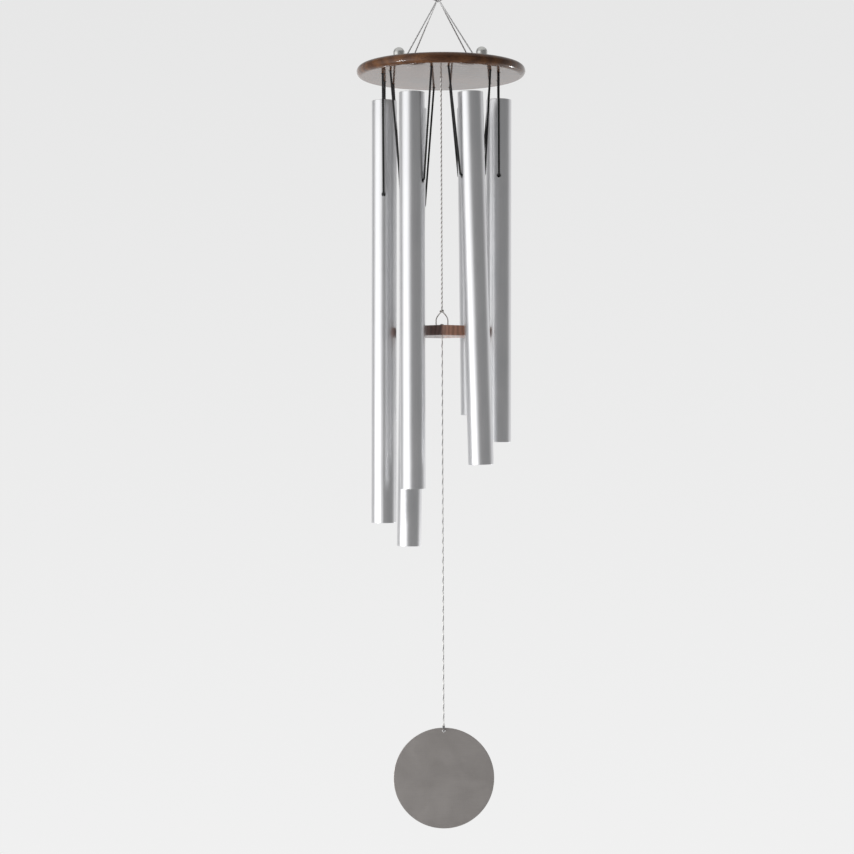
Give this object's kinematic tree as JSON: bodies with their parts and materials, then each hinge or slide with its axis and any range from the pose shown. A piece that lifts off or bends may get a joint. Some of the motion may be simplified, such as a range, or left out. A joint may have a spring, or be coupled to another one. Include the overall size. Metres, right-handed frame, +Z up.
{
  "type": "wind chime",
  "caption": "Hanging wind chime: aluminium tubes on cords under a round dark wood platform, with a six-sided striker and a round metal windcatcher below.",
  "frame": {"origin": "the point on the inside of the hanging ring where a hook bears", "axes": "+Z up, opposite the way the chime hangs; +Y from the front of the chime to its back, so -Y is the side that the windcatcher's face and the ring's hole are turned to; +X to the right"},
  "size_m": [0.258, 0.258, 1.2955],
  "materials": {
    "ring_steel": "satin",
    "grey_cord": "twisted",
    "dark_wood": "glossy lacquer",
    "knob_metal": "satin",
    "black_cord": "braided",
    "tube_aluminium": "satin drawn",
    "flecked_cord": "two-tone braid",
    "pale_cord": "braided",
    "striker_wood": "satin",
    "disc_metal": "fine brushed"
  },
  "bodies": {
    "ring": {"hanging_ring": "ring_steel"},
    "wrap": {"cord_wrap": "grey_cord"},
    "platform": {"suspension_cord_1": "grey_cord", "suspension_cord_2": "grey_cord", "suspension_cord_3": "grey_cord", "suspension_cord_4": "grey_cord", "platform": "dark_wood", "anchor_knob_1": "knob_metal", "anchor_knob_2": "knob_metal", "anchor_knob_3": "knob_metal", "anchor_knob_4": "knob_metal", "lacing_cord": "black_cord", "lacing_knot": "black_cord"},
    "hanger_1": {"tube_cord_1": "black_cord"},
    "chime_1": {"tube_1": "tube_aluminium"},
    "hanger_2": {"tube_cord_2": "black_cord"},
    "chime_2": {"tube_2": "tube_aluminium"},
    "hanger_3": {"tube_cord_3": "black_cord"},
    "chime_3": {"tube_3": "tube_aluminium"},
    "hanger_4": {"tube_cord_4": "black_cord"},
    "chime_4": {"tube_4": "tube_aluminium"},
    "hanger_5": {"tube_cord_5": "black_cord"},
    "chime_5": {"tube_5": "tube_aluminium"},
    "hanger_6": {"tube_cord_6": "black_cord"},
    "chime_6": {"tube_6": "tube_aluminium"},
    "striker_hanger": {"striker_stopper_knot": "flecked_cord"},
    "striker_line": {"striker_cord": "flecked_cord", "junction_knot": "flecked_cord"},
    "striker_block": {"striker_bridle": "pale_cord", "bridle_knots": "pale_cord", "striker": "striker_wood", "windcatcher_stopper_knot": "flecked_cord"},
    "lower_hanger": {"windcatcher_under_knot": "pale_cord"},
    "windcatcher_line": {"windcatcher_cord": "pale_cord"},
    "windcatcher_eye": {"windcatcher_loop": "pale_cord"},
    "windcatcher_disc": {"windcatcher": "disc_metal"}
  },
  "joints": [
    {"name": "chime_swing_front", "type": "hinge", "parent": "ring", "child": "wrap", "pos_m": [0, 0, -0.02475], "axis": [1, 0, 0], "range_deg": [-10, 10]},
    {"name": "chime_swing_side", "type": "hinge", "parent": "wrap", "child": "platform", "pos_m": [0, 0, -0.02475], "axis": [0, 1, 0], "range_deg": [-10, 10]},
    {"name": "tube_1_swing", "type": "hinge", "parent": "platform", "child": "hanger_1", "pos_m": [-0.03782, 0.07653, -0.143], "axis": [0.8771, 0.4802, 0], "range_deg": [-1.5, 8]},
    {"name": "tube_1_rock", "type": "hinge", "parent": "hanger_1", "child": "chime_1", "pos_m": [-0.03957, 0.07556, -0.33258], "axis": [-0.877, -0.4801, 0.0185], "range_deg": [-3, 3]},
    {"name": "tube_2_swing", "type": "hinge", "parent": "platform", "child": "hanger_2", "pos_m": [-0.08338, 0.00159, -0.143], "axis": [0.0227, 0.9997, 0], "range_deg": [-1.5, 8]},
    {"name": "tube_2_rock", "type": "hinge", "parent": "hanger_2", "child": "chime_2", "pos_m": [-0.08338, 0.00159, -0.32361], "axis": [-0.0227, -0.9997, 0], "range_deg": [-3, 3]},
    {"name": "tube_3_swing", "type": "hinge", "parent": "platform", "child": "hanger_3", "pos_m": [-0.04126, -0.07534, -0.143], "axis": [-0.8545, 0.5195, 0], "range_deg": [-1.5, 8]},
    {"name": "tube_3_rock", "type": "hinge", "parent": "hanger_3", "child": "chime_3", "pos_m": [-0.04007, -0.07606, -0.3115], "axis": [0.8545, -0.5195, -0.0017], "range_deg": [-3, 3]},
    {"name": "tube_4_swing", "type": "hinge", "parent": "platform", "child": "hanger_4", "pos_m": [0.04642, -0.07733, -0.143], "axis": [-0.8771, -0.4802, 0], "range_deg": [-1.5, 8]},
    {"name": "tube_4_rock", "type": "hinge", "parent": "hanger_4", "child": "chime_4", "pos_m": [0.05036, -0.07516, -0.30354], "axis": [0.8768, 0.48, 0.0288], "range_deg": [-3, 3]},
    {"name": "tube_5_swing", "type": "hinge", "parent": "platform", "child": "hanger_5", "pos_m": [0.09198, -0.00239, -0.143], "axis": [-0.0227, -0.9997, 0], "range_deg": [-1.5, 8]},
    {"name": "tube_5_rock", "type": "hinge", "parent": "hanger_5", "child": "chime_5", "pos_m": [0.09198, -0.00239, -0.29614], "axis": [0.0227, 0.9997, 0], "range_deg": [-3, 3]},
    {"name": "tube_6_swing", "type": "hinge", "parent": "platform", "child": "hanger_6", "pos_m": [0.04986, 0.07454, -0.143], "axis": [0.8545, -0.5195, 0], "range_deg": [-1.5, 8]},
    {"name": "tube_6_rock", "type": "hinge", "parent": "hanger_6", "child": "chime_6", "pos_m": [0.04986, 0.07454, -0.28673], "axis": [-0.8544, 0.5195, -0.0087], "range_deg": [-3, 3]},
    {"name": "striker_swing_front", "type": "hinge", "parent": "platform", "child": "striker_hanger", "pos_m": [0.0043, -0.0004, -0.143], "axis": [1, 0, 0], "range_deg": [-1.8, 1.8]},
    {"name": "striker_swing_side", "type": "hinge", "parent": "striker_hanger", "child": "striker_line", "pos_m": [0.0043, -0.0004, -0.143], "axis": [0, 1, 0], "range_deg": [-1.8, 1.8]},
    {"name": "striker_tip", "type": "hinge", "parent": "striker_line", "child": "striker_block", "pos_m": [0.0043, -0.0004, -0.501], "axis": [1, 0, 0], "range_deg": [-3, 3]},
    {"name": "windcatcher_swing_front", "type": "hinge", "parent": "striker_block", "child": "lower_hanger", "pos_m": [0.0043, -0.0004, -0.53995], "axis": [1, 0, 0], "range_deg": [-8, 8]},
    {"name": "windcatcher_swing_side", "type": "hinge", "parent": "lower_hanger", "child": "windcatcher_line", "pos_m": [0.0043, -0.0004, -0.53995], "axis": [0, 1, 0], "range_deg": [-8, 8]},
    {"name": "windcatcher_twist", "type": "hinge", "parent": "windcatcher_line", "child": "windcatcher_eye", "pos_m": [0.0043, -0.0004, -1.1301], "axis": [0, 0, 1], "continuous": true},
    {"name": "windcatcher_pitch", "type": "hinge", "parent": "windcatcher_eye", "child": "windcatcher_disc", "pos_m": [0.0043, -0.0004, -1.1401], "axis": [1, 0, 0], "range_deg": [-15, 15]}
  ]
}
